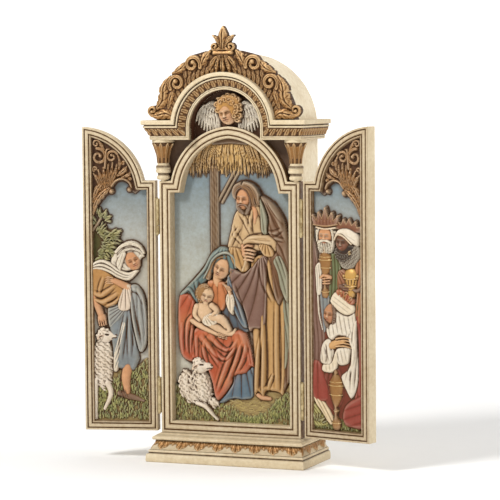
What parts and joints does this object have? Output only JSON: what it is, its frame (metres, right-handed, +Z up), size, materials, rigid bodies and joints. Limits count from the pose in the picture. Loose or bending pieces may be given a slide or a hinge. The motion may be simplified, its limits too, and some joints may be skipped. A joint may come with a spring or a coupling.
{
  "type": "triptych altarpiece",
  "caption": "Table-top carved triptych: a standing arched case with a relief scene, columns and a leafy crest, and hinged half-arch wings that fold shut over it.",
  "frame": {"origin": "middle of the plinth's underside", "axes": "+Z up, the carved front faces -Y, the wings lie along X"},
  "size_m": [0.1942, 0.049, 0.273],
  "materials": {
    "painted_resin": "antiqued matte paint over cast resin",
    "hinge_brass": "dull brass plate"
  },
  "bodies": {
    "case": {"case": "painted_resin", "left_lower_hinge_case_leaf": "hinge_brass", "left_lower_hinge_pin": "hinge_brass", "left_upper_hinge_case_leaf": "hinge_brass", "left_upper_hinge_pin": "hinge_brass", "right_lower_hinge_case_leaf": "hinge_brass", "right_lower_hinge_pin": "hinge_brass", "right_upper_hinge_case_leaf": "hinge_brass", "right_upper_hinge_pin": "hinge_brass"},
    "left_wing": {"left_wing": "painted_resin", "left_upper_hinge_wing_leaf": "hinge_brass", "left_lower_hinge_wing_leaf": "hinge_brass"},
    "right_wing": {"right_wing": "painted_resin", "right_upper_hinge_wing_leaf": "hinge_brass", "right_lower_hinge_wing_leaf": "hinge_brass"}
  },
  "joints": [
    {"name": "left_wing_hinge", "type": "hinge", "parent": "case", "child": "left_wing", "pos_m": [-0.04825, -0.0128, 0.1], "axis": [0, 0, 1], "range_deg": [-19, 167]},
    {"name": "right_wing_hinge", "type": "hinge", "parent": "case", "child": "right_wing", "pos_m": [0.04825, -0.0128, 0.1], "axis": [0, 0, -1], "range_deg": [-19, 167]}
  ]
}
